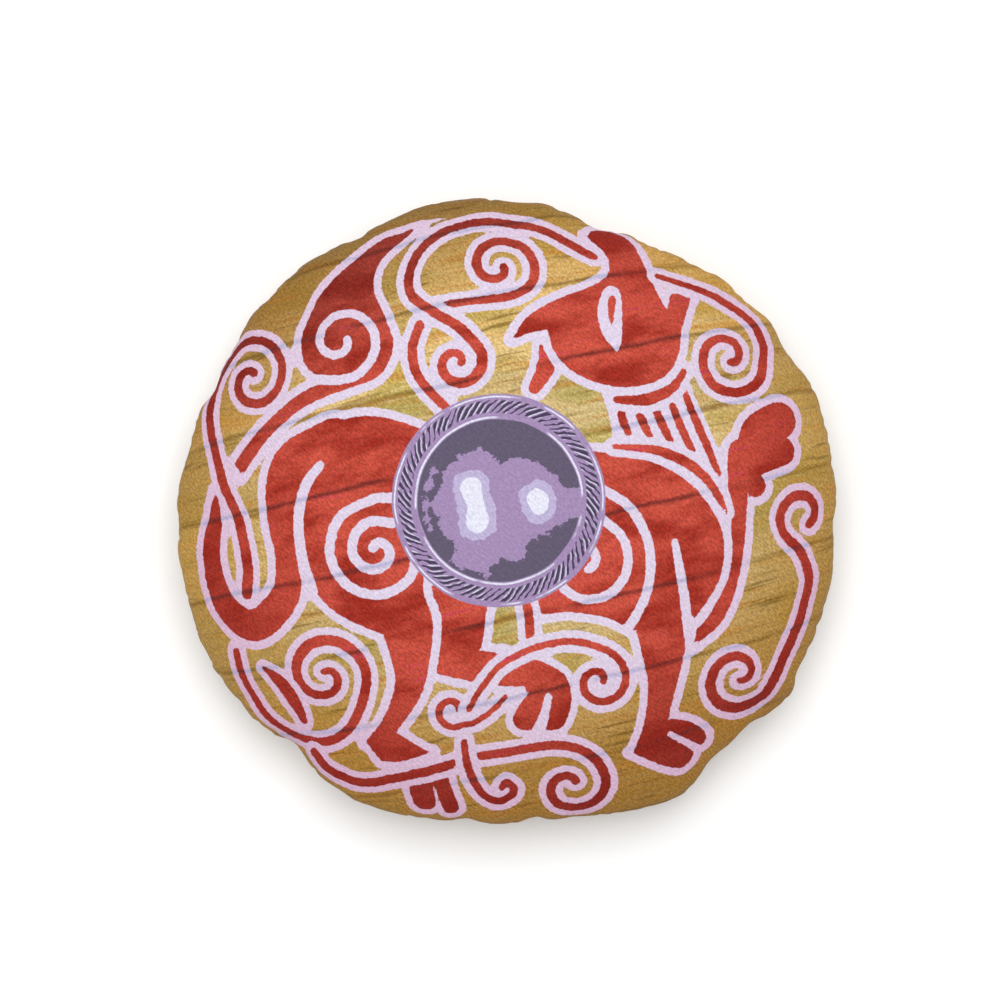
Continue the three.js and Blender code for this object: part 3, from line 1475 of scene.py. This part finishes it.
@dataclass(frozen=True)
class BossPrint:
    """The round metal boss, printed flat in violets with a roped rim."""

    centre: Spot = (-5.2, 7.2)
    rope: RopeRim = RopeRim()
    dark: Colour = (0.100, 0.082, 0.130)
    middle: Colour = VIOLET
    lilac: Colour = (0.41, 0.36, 0.53)
    white: Colour = GLEAM
    wobble: Lumps = Lumps(26, 26, detail=1.0)
    wobble_size: float = 1.2
    ragged: Lumps = Lumps(9, 7, detail=3.0, roughness=0.7)
    ragged_size: float = 16.0
    soft: Lumps = Lumps(9, 9, (3, 8))
    halo: Spot = (8.0, 9.2)
    glare: Spot = (3.0, 1.5)
    disc_soft: float = 0.3

    def fields(self, points: Points) -> tuple[Points, Points]:
        """How far each point lies outside the broad reflection and the two highlights.

        Args:
            points: Points on the flat face, one row each, in millimetres.

        Returns:
            The two distances, negative inside.
        """
        off = points - self.centre
        broad = Layer((
            Patch((
                ((-37, 12), (-31, 24), (-18, 33), (-7, 31), (3, 25), (17, 27), (27, 23), (35, 17),
                 (43, 8), (56, 9), (56, -10), (43, -13), (34, -20), (20, -26), (17, -36), (8, -38),
                 (-3, -39), (-7, -49), (-18, -46), (-32, -40), (-28, -31), (-36, -21), (-42, -5)),
            )),
            Stroke(((-42, 19), (-46, 8), (-48, -5), (-45, -19)), (3, 4, 4, 3)),
        ))
        lights = Layer((
            Stroke(((-18, 8), (-15, -3), (-14, -13)), (14, 11, 15)),
            Stroke(((25, 2), (25, 0), (26, -3)), (11, 14, 12)),
        ))
        return broad.distance(off), lights.distance(off)

    def colour(self, sheet: PanelSheet) -> tuple[Socket, Socket]:
        """Draw the boss.

        Args:
            sheet: The material.

        Returns:
            The boss's colour, and its mask.
        """
        violet, glint = sheet.read("violet"), sheet.read("glint")
        own = sheet.place(sheet.flat, (-self.centre[0], -self.centre[1]))
        reach = sheet.minus(sheet.far(sheet.flat, self.centre), self.wobble_size / 2)
        reach = sheet.add_part(sheet.noise(own, self.wobble), self.wobble_size, reach)
        ragged = sheet.add_part(sheet.noise(own, self.ragged), self.ragged_size, violet)
        disc = sheet.blend(sheet.inside(ragged, INK_EDGE, self.ragged_size / 2), self.dark, self.middle)
        soft = sheet.noise(own, self.soft)
        for (stray, edge), ink in ((self.halo, self.lilac), (self.glare, self.white)):
            light = sheet.inside(sheet.add_part(soft, stray, glint), INK_EDGE, edge)
            disc = sheet.blend(light, disc, ink)
        turn = sheet.maths("ARCTAN2", sheet.part(own, 1), sheet.part(own, 0))
        ring = self.rope.colour(sheet, own, turn, reach)
        colour = sheet.blend(sheet.inside(reach, self.disc_soft, self.rope.inner), ring, disc)
        return colour, sheet.inside(reach, INK_EDGE, self.rope.outer)


@dataclass(frozen=True)
class BeastInk:
    """The pale and the red print, whose edges wobble a little."""

    pale: Colour = (0.585, 0.505, 0.62)
    lilac: Colour = (0.49, 0.48, 0.66)
    # Painted shade colour: the pale turns pinker towards the edge of the face.
    shaded_pale: Colour = (0.57, 0.37, 0.50)
    pale_joint: Colour = (0.33, 0.32, 0.47)
    red: Colour = (0.47, 0.066, 0.041)
    # The deep red gives both the random dark mottles and the painted shade towards the edge of the face.
    deep: Colour = (0.23, 0.011, 0.005)
    pink: Colour = (0.46, 0.042, 0.080)
    red_joint: Colour = (0.12, 0.016, 0.013)
    clouds: Lumps = Lumps(60, 26, (6, 1), 3.0, 0.6)
    streaks: Lumps = Lumps(34, 3.2, (2, 8))
    deep_fade: Fade = (0.40, 0.66, 0.0, 0.85)
    clear_fade: Fade = (0.36, 0.50, 1.0, 0.0)
    pink_fade: Fade = (0.56, 0.72, 0.0, 1.0)
    lilac_fade: Fade = (0.52, 0.70, 0.0, 0.35)
    pale_dark: float = 0.75
    red_dark: float = 0.85
    # Where the inks' painted shade is centred, how it fades in, and how deep the red goes in it.
    middle: Spot = (0, 25)
    painted_ink_shade_fade: Fade = (110, 250, 0.0, 1.0)
    painted_ink_shade_depth: float = 0.85
    wobble: float = 1.7
    pale_edge: Lumps = Lumps(3.6, 3.6, (3, 7), 1.0)
    red_edge: Lumps = Lumps(3.6, 3.6, (8, 2), 1.0)

    def mask(self, sheet: PanelSheet, name: str, edge: Lumps) -> Socket:
        """Where an ink lies.

        Args:
            sheet: The material.
            name: The attribute that says how far each point lies outside the ink.
            edge: How its edge wobbles.

        Returns:
            One inside the ink and none outside it.
        """
        shift = sheet.add_part(sheet.noise(sheet.flat, edge), self.wobble, -0.5 * self.wobble)
        return sheet.inside(sheet.plus(sheet.read(name), shift), INK_EDGE)

    def inks(self, sheet: PanelSheet) -> tuple[Socket, Socket]:
        """Mix the two inks, with painted shade towards the edge of the face.

        Args:
            sheet: The material.

        Returns:
            The pale and the red.
        """
        clouds = sheet.noise(sheet.grain, self.clouds)
        streaks = sheet.noise(sheet.grain, self.streaks)
        # Painted shade: the pale turns pinker and the red deeper towards the edge of the face.
        painted_ink_shade = sheet.ramp(sheet.far(sheet.flat, self.middle), *self.painted_ink_shade_fade)
        pale = sheet.blend(sheet.ramp(streaks, *self.lilac_fade), self.pale, self.lilac)
        pale = sheet.blend(painted_ink_shade, pale, self.shaded_pale)
        red = sheet.blend(sheet.ramp(clouds, *self.deep_fade), self.red, self.deep)
        clear = sheet.ramp(clouds, *self.clear_fade)
        red = sheet.blend(sheet.times(sheet.ramp(streaks, *self.pink_fade), clear), red, self.pink)
        red = sheet.blend(sheet.times(painted_ink_shade, self.painted_ink_shade_depth), red, self.deep)
        return pale, red


@dataclass(frozen=True)
class PlushPile:
    """The short pile, seen as soft slanted flecks."""

    coarse: tuple[Lumps, float] = (Lumps(3.6, 1.5), 38)
    fine: tuple[Lumps, float] = (Lumps(1.9, 1.1, detail=1.0), 52)
    coarse_fade: Fade = (0.32, 0.68, 0.84, 1.16)
    fine_fade: Fade = (0.32, 0.68, 0.82, 1.18)
    calm: float = 0.45
    coarse_share: float = 0.7
    roughness: float = 0.9
    specular: float = 0.1
    sheen: float = 0.05
    sheen_roughness: float = 0.5
    bump: float = 0.6

    def cover(self, sheet: PanelSheet, colour: Value, calm: Value) -> None:
        """Fleck the colour, and set the shader.

        Args:
            sheet: The material.
            colour: The printed colour.
            calm: Where the flecks are weaker, from 0 to 1.
        """
        coarse, fine = (
            sheet.noise(sheet.place(sheet.flat, turn=lean), lumps)
            for lumps, lean in (self.coarse, self.fine)
        )
        fleck = sheet.times(sheet.ramp(coarse, *self.coarse_fade), sheet.ramp(fine, *self.fine_fade))
        strength = sheet.ramp(calm, 0, 1, 1.0, self.calm)
        level = sheet.add_part(sheet.minus(fleck, 1.0), strength, 1.0)
        height = sheet.add_part(coarse, self.coarse_share, sheet.times(fine, 1 - self.coarse_share))
        bump = sheet.node("Bump", {"Strength": self.bump, "Distance": 1.0 * MM, "Height": height})
        inputs = sheet.shader.inputs
        sheet.join(inputs["Base Color"], sheet.scaled(colour, level))
        sheet.join(inputs["Normal"], bump)
        inputs["Roughness"].default_value = self.roughness
        inputs["Specular IOR Level"].default_value = self.specular
        inputs["Sheen Weight"].default_value = self.sheen
        inputs["Sheen Roughness"].default_value = self.sheen_roughness


@dataclass(frozen=True)
class PrintedPlush:
    """Short-pile plush, printed with planks and, on the face, with the beast and the boss.

    Args:
        planks: The planks' print.
        ink: The beast's print.
        boss: The boss's print.
        pile: The pile of the plush.
        beast: The beast's shape.
        panel_gap: How far apart the two panels are cut from the printed cloth, in millimetres.
        side_fade: Between which sides the face's print comes in, from the seam towards the face.
        seam_shade_edge: How softly the painted shade at the seam ends, and where, in millimetres from it.
        foot_shade_edge: The same for the painted shade at the foot.
        foot_shade_fade: Between which distances below the middle the foot's painted shade comes in.
        painted_shade_strength: How strong the painted shade is.
    """

    planks: PlankPrint = PlankPrint()
    ink: BeastInk = BeastInk()
    boss: BossPrint = BossPrint()
    pile: PlushPile = PlushPile()
    beast: BeastPicture = BeastPicture()
    panel_gap: float = 60
    side_fade: Spot = (0.02, 0.2)
    seam_shade_edge: Spot = (2.5, 2.0)
    foot_shade_edge: Spot = (9.0, 8.0)
    foot_shade_fade: Spot = (110, 200)
    painted_shade_strength: float = 0.5

    def face(self, sheet: PanelSheet, joint: Value, ground: Value) -> tuple[Socket, Socket]:
        """Print the beast and the boss over the planks.

        Args:
            sheet: The material.
            joint: How dark a joint between the planks is at each point.
            ground: The planks' colour.

        Returns:
            The face's colour, and where its flecks are calm.
        """
        pale_mask = self.ink.mask(sheet, "pale", self.ink.pale_edge)
        red_mask = self.ink.mask(sheet, "red", self.ink.red_edge)
        pale, red = self.ink.inks(sheet)
        # Painted shade on the red, darker towards the upper left and the foot.
        red = self.planks.with_painted_shade(sheet, red)
        pale = sheet.blend(sheet.times(joint, self.ink.pale_dark), pale, self.ink.pale_joint)
        red = sheet.blend(sheet.times(joint, self.ink.red_dark), red, self.ink.red_joint)
        printed = sheet.blend(red_mask, sheet.blend(pale_mask, ground, pale), red)
        calm = sheet.maths("MAXIMUM", sheet.minus(pale_mask, red_mask), 0.0)
        boss, mask = self.boss.colour(sheet)
        return sheet.blend(mask, printed, boss), sheet.maths("MAXIMUM", calm, mask)

    def with_painted_seam_shade(self, sheet: PanelSheet, colour: Value) -> Socket:
        """Paint shade along the seam a little all round, and more broadly at the foot.

        Args:
            sheet: The material.
            colour: The printed colour.

        Returns:
            The darkened colour.
        """
        gap = sheet.read("seam_gap")
        # Painted shade: the seam's crease and the foot darken towards brown.
        seam = sheet.inside(gap, *self.seam_shade_edge)
        foot = sheet.ramp(sheet.toward(sheet.flat, (0, -1)), *self.foot_shade_fade)
        foot = sheet.times(sheet.inside(gap, *self.foot_shade_edge), foot)
        for share in (seam, foot):
            colour = sheet.blend(sheet.times(share, self.painted_shade_strength), colour, self.planks.brown)
        return colour

    def build(self) -> bpy.types.Material:
        """Make the material.

        Returns:
            The printed plush.
        """
        sheet = PanelSheet("printed_plush", self.panel_gap, self.planks.tilt)
        joint, plank = self.planks.joints(sheet)
        ground = self.planks.colour(sheet, joint, plank)
        printed, calm = self.face(sheet, joint, ground)
        on_face = sheet.ramp(sheet.side, *self.side_fade)
        # Painted shade along the seam and at the foot.
        colour = self.with_painted_seam_shade(sheet, sheet.blend(on_face, ground, printed))
        self.pile.cover(sheet, colour, sheet.times(calm, on_face))
        return sheet.material

    def lay(self, piece: bpy.types.Object) -> None:
        """Print the cushion.

        Args:
            piece: The cushion, whose attribute "panel" says where each point lies when flat.
        """
        flat = read_vector(piece.data, "panel")
        face = flat[:, 2] > 0
        spots = flat[face, :2] / MM
        gaps = (*self.beast.fields(spots), *self.boss.fields(spots))
        for name, gap in zip(("pale", "red", "violet", "glint"), gaps):
            values = np.full(len(flat), FAR)
            values[face] = gap
            write_value(piece.data, name, values)
        lay_out_bake(piece.data, flat)
        piece.data.materials.append(self.build())
        LOG.info("%s: printed", piece.name)


# ---- mesh helpers ----------------------------------------------------------------------


def put(name: str, data: bpy.types.ID) -> bpy.types.Object:
    """Put a mesh, a light or a camera into the scene.

    Args:
        name: The new object's name.
        data: What it holds.

    Returns:
        The new object.
    """
    piece = bpy.data.objects.new(name, data)
    bpy.context.scene.collection.objects.link(piece)
    return piece


def square_to_disc(corner: Vector) -> Vector:
    """Move a point of the square from -1 to 1 onto the unit disc, ring by ring.

    Args:
        corner: The point.

    Returns:
        Its place on the disc.
    """
    across, up = corner.x, corner.y
    if max(abs(across), abs(up)) < 1e-9:
        return Vector((0, 0, 0))
    if abs(across) > abs(up):
        radius, turn = across, math.pi / 4 * up / across
    else:
        radius, turn = up, math.pi / 2 - math.pi / 4 * across / up
    return Vector((radius * math.cos(turn), radius * math.sin(turn), 0))


def read_rows(items: bpy.types.bpy_prop_collection, name: str) -> Points:
    """Read a three-number property of a mesh's items.

    Args:
        items: The items.
        name: The property's name.

    Returns:
        The property of each item, one row each.
    """
    values = np.zeros(len(items) * 3, np.float32)
    items.foreach_get(name, values)
    return values.reshape(-1, 3).astype(float)


def read_points(mesh: bpy.types.Mesh) -> Points:
    """The mesh's points, one row each, in metres."""
    return read_rows(mesh.vertices, "co")


def read_normals(mesh: bpy.types.Mesh) -> Points:
    """The direction in which the skin faces at each of the mesh's points."""
    return read_rows(mesh.vertices, "normal")


def read_vector(mesh: bpy.types.Mesh, name: str) -> Points:
    """A three-number attribute of the mesh's points, one row each."""
    return read_rows(mesh.attributes[name].data, "vector")


def write_points(mesh: bpy.types.Mesh, points: Points) -> None:
    """Move the mesh's points to these rows, in metres."""
    mesh.vertices.foreach_set("co", points.astype(np.float32).ravel())
    mesh.update()


def write_value(mesh: bpy.types.Mesh, name: str, values: Points) -> None:
    """Store a one-number attribute on the mesh's points."""
    layer = mesh.attributes.new(name, "FLOAT", "POINT")
    layer.data.foreach_set("value", values.astype(np.float32))


def write_vector(mesh: bpy.types.Mesh, name: str, rows: Points) -> None:
    """Store a three-number attribute on the mesh's points."""
    layer = mesh.attributes.get(name) or mesh.attributes.new(name, "FLOAT_VECTOR", "POINT")
    layer.data.foreach_set("vector", rows.astype(np.float32).ravel())


def lay_out_bake(mesh: bpy.types.Mesh, flat: Points) -> None:
    """Lay both panels side by side in a UV map for baking, the face twice as large.

    Args:
        mesh: The cushion's mesh.
        flat: Where each of its points lies when flat, in metres, and its side.
    """
    corners = np.zeros(len(mesh.loops), np.int32)
    mesh.loops.foreach_get("vertex_index", corners)
    sides = np.array([flat[list(face.vertices), 2].mean() for face in mesh.polygons])
    is_face = np.repeat(sides > 0, [face.loop_total for face in mesh.polygons])[:, None]
    spots = flat[corners, :2] / np.abs(flat[:, :2]).max()
    face_middle, face_half = 0.39, 0.38
    back_middle, back_half = 0.80, 0.19
    places = np.where(is_face, face_middle + face_half * spots, back_middle + back_half * spots)
    layer = mesh.uv_layers.new(name="OFBake")
    layer.data.foreach_set("uv", places.astype(np.float32).ravel())


def apply_modifiers(piece: bpy.types.Object) -> None:
    """Replace the piece's mesh by what its modifiers make of it.

    Args:
        piece: The piece.
    """
    shaped = piece.evaluated_get(bpy.context.evaluated_depsgraph_get())
    mesh = bpy.data.meshes.new_from_object(shaped)
    piece.modifiers.clear()
    piece.shape_key_clear()
    piece.vertex_groups.clear()
    piece.data = mesh


def subdivide(piece: bpy.types.Object) -> None:
    """Give the piece one level of smooth subdivision, applied.

    Args:
        piece: The piece.
    """
    smooth = piece.modifiers.new("smooth", "SUBSURF")
    smooth.levels = 1
    smooth.render_levels = 1
    apply_modifiers(piece)


# ---- the studio ------------------------------------------------------------------------


@dataclass(frozen=True)
class Lamp:
    """One square soft light that faces the cushion."""

    name: str
    place: tuple[float, float, float]
    size: float
    power: float

    def hang(self) -> None:
        """Put the light into the scene."""
        data = bpy.data.lights.new(self.name, "AREA")
        data.size = self.size
        data.energy = self.power
        lamp = put(self.name, data)
        lamp.location = self.place
        lamp.rotation_euler = (-lamp.location).to_track_quat("-Z", "Y").to_euler()
        LOG.info("%s: %.1f W", lamp.name, data.energy)


@dataclass(frozen=True)
class Studio:
    """The pale floor, the soft lights and the camera, which looks straight down."""

    lens: float = 85.0
    view_width: float = 0.685
    camera_shift: Spot = (-4.5 * MM, 7.5 * MM)
    lamps: tuple[Lamp, ...] = (
        Lamp("key", (0.06, 0.56, 2.05), 1.3, 25.5),
        Lamp("fill", (-0.7, -0.1, 1.9), 1.4, 4),
    )
    daylight: float = 0.71
    floor_size: float = 6
    floor_grey: float = 0.92
    floor_roughness: float = 0.9

    def camera(self, height: float) -> None:
        """Hang the camera over the cushion.

        Args:
            height: The level at which the view is view_width wide, in metres.
        """
        data = bpy.data.cameras.new("camera")
        data.lens = self.lens
        camera = put("camera", data)
        away = self.view_width * self.lens / data.sensor_width
        camera.location = (*self.camera_shift, height + away)
        bpy.context.scene.camera = camera
        LOG.info("%s: %.2f m up", camera.name, height + away)

    def floor(self) -> None:
        """Lay the pale floor."""
        sheet = bmesh.new()
        bmesh.ops.create_grid(sheet, x_segments=1, y_segments=1, size=self.floor_size)
        mesh = bpy.data.meshes.new("floor")
        sheet.to_mesh(mesh)
        sheet.free()
        floor = put("floor", mesh)
        paint = NodeSheet("floor_paint")
        paint.shader.inputs["Base Color"].default_value = (*[self.floor_grey] * 3, 1)
        paint.shader.inputs["Roughness"].default_value = self.floor_roughness
        mesh.materials.append(paint.material)
        LOG.info("%s: laid", floor.name)

    def surroundings(self) -> None:
        """Set even white light all round."""
        world = bpy.data.worlds.new("studio")
        world.use_nodes = True
        background = world.node_tree.nodes["Background"]
        background.inputs["Color"].default_value = (1, 1, 1, 1)
        background.inputs["Strength"].default_value = self.daylight
        bpy.context.scene.world = world
        bpy.context.scene.view_settings.view_transform = "Standard"

    def build(self, seam_height: float) -> None:
        """Set up the floor, the camera, the lights and the surroundings.

        Args:
            seam_height: The height of the cushion's widest line, in metres.
        """
        self.floor()
        self.camera(seam_height)
        for lamp in self.lamps:
            lamp.hang()
        self.surroundings()


def main() -> None:
    cushion = StuffedCushion(SewnEdge())
    piece = cushion.build()
    LOG.info("%s: %d points, %d faces", piece.name, len(piece.data.vertices), len(piece.data.polygons))
    PrintedPlush().lay(piece)
    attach(piece, "root")
    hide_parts(CUSHION_NODE)
    Studio().build(cushion.seam_height)


if __name__ == "__main__":
    main()
